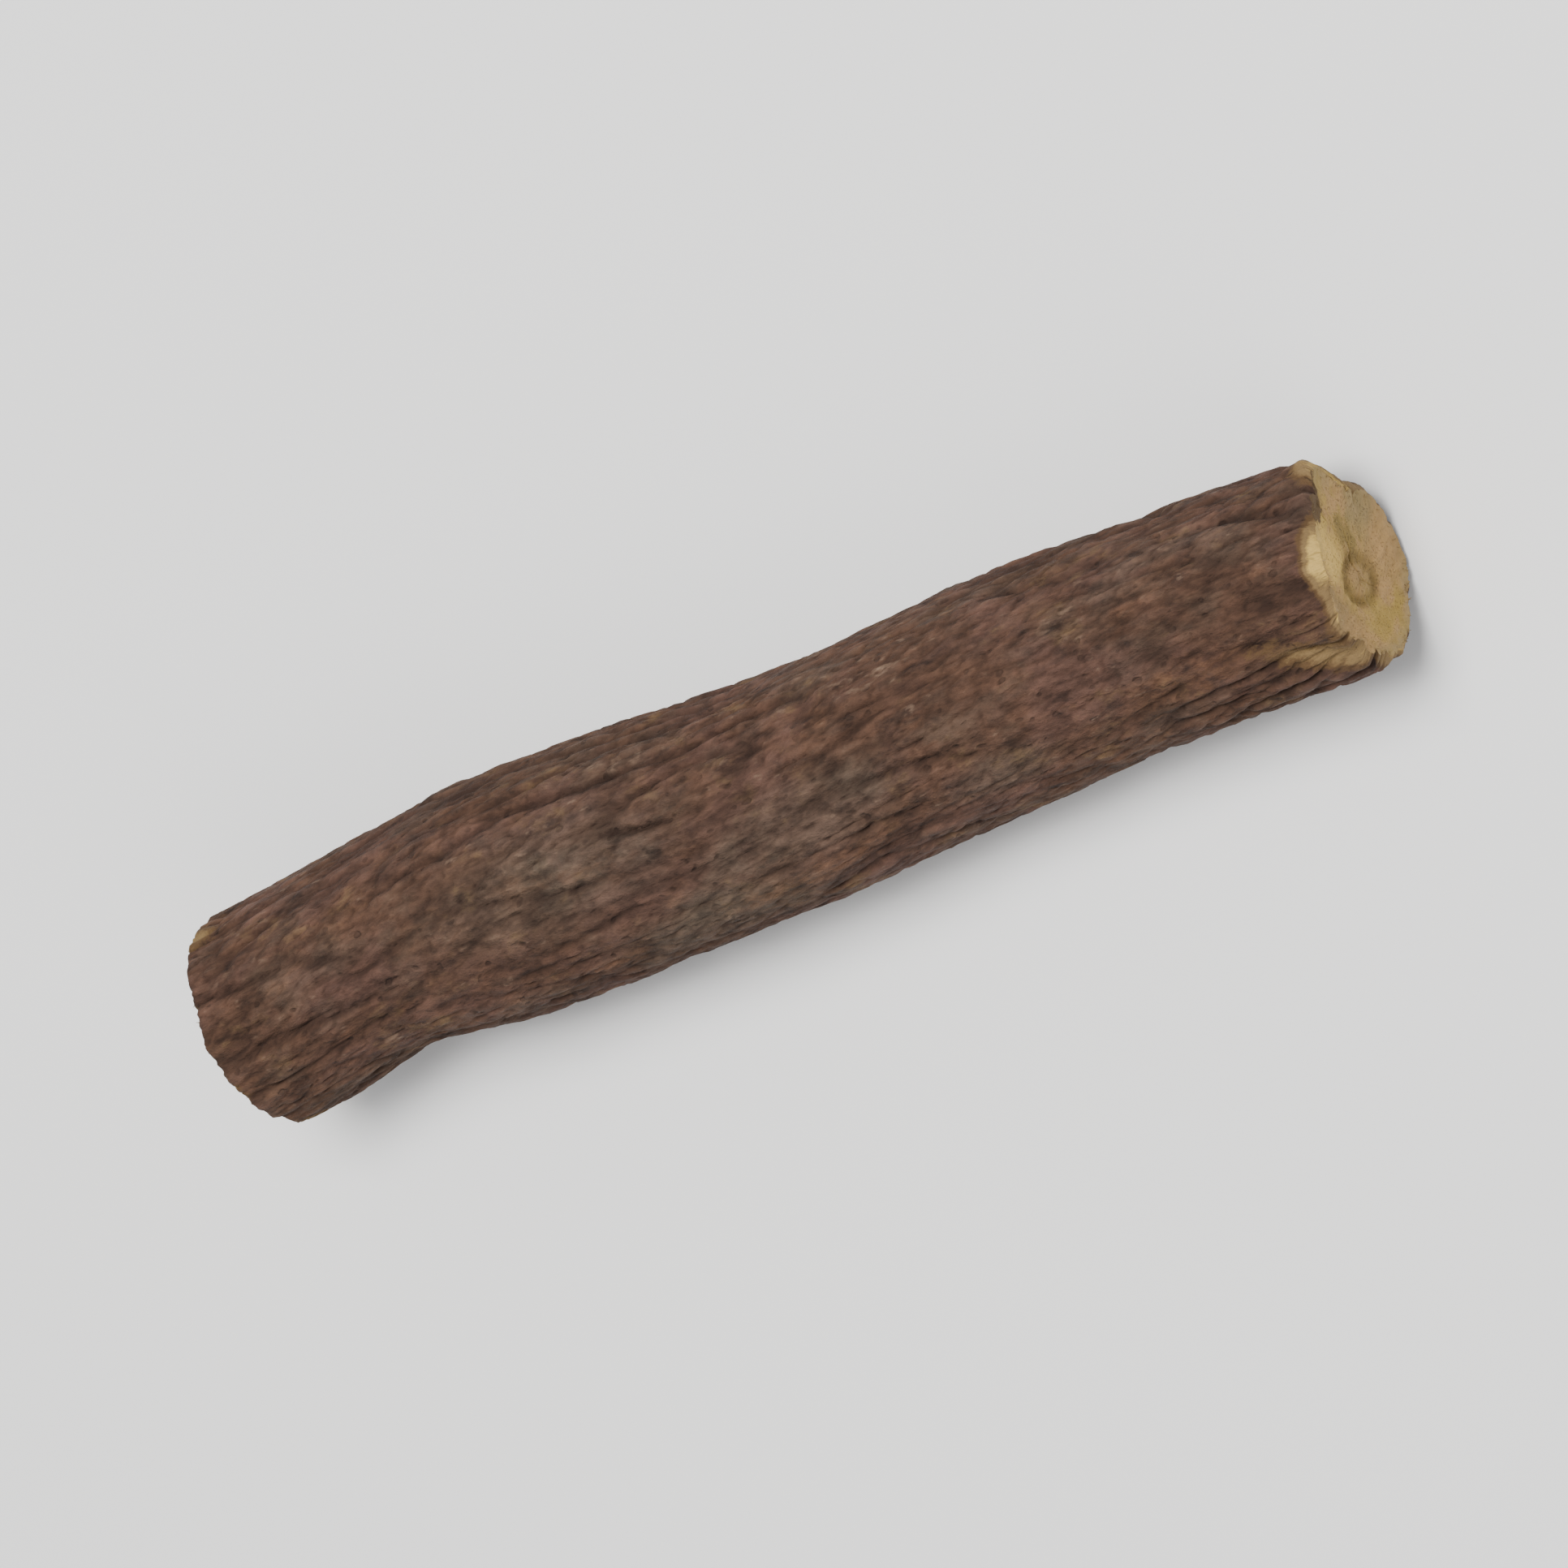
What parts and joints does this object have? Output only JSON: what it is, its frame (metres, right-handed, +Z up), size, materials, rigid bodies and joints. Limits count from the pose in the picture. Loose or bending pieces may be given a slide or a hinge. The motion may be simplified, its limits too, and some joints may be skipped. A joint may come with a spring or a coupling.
{
  "type": "licorice root stick",
  "caption": "Cut stick of licorice root lying on its side: wrinkled brown bark with a wound grain round pale yellow wood, sawn across at each end.",
  "frame": {"origin": "on the surface that the root lies on, below the middle of its box", "axes": "+X along the root to the end with the ringed cut face, +Y to the side that the root bows to, +Z up"},
  "size_m": [0.072, 0.0136, 0.012],
  "materials": {
    "bark": "dry matt wrinkled cork, brown with purple and grey tints, scuffed paler on its ridges",
    "cut_wood": "dry fibrous pale yellow wood, sawn, with rays and a darker ring round the core"
  },
  "bodies": {
    "root": {"licorice_root": "bark"}
  },
  "joints": []
}
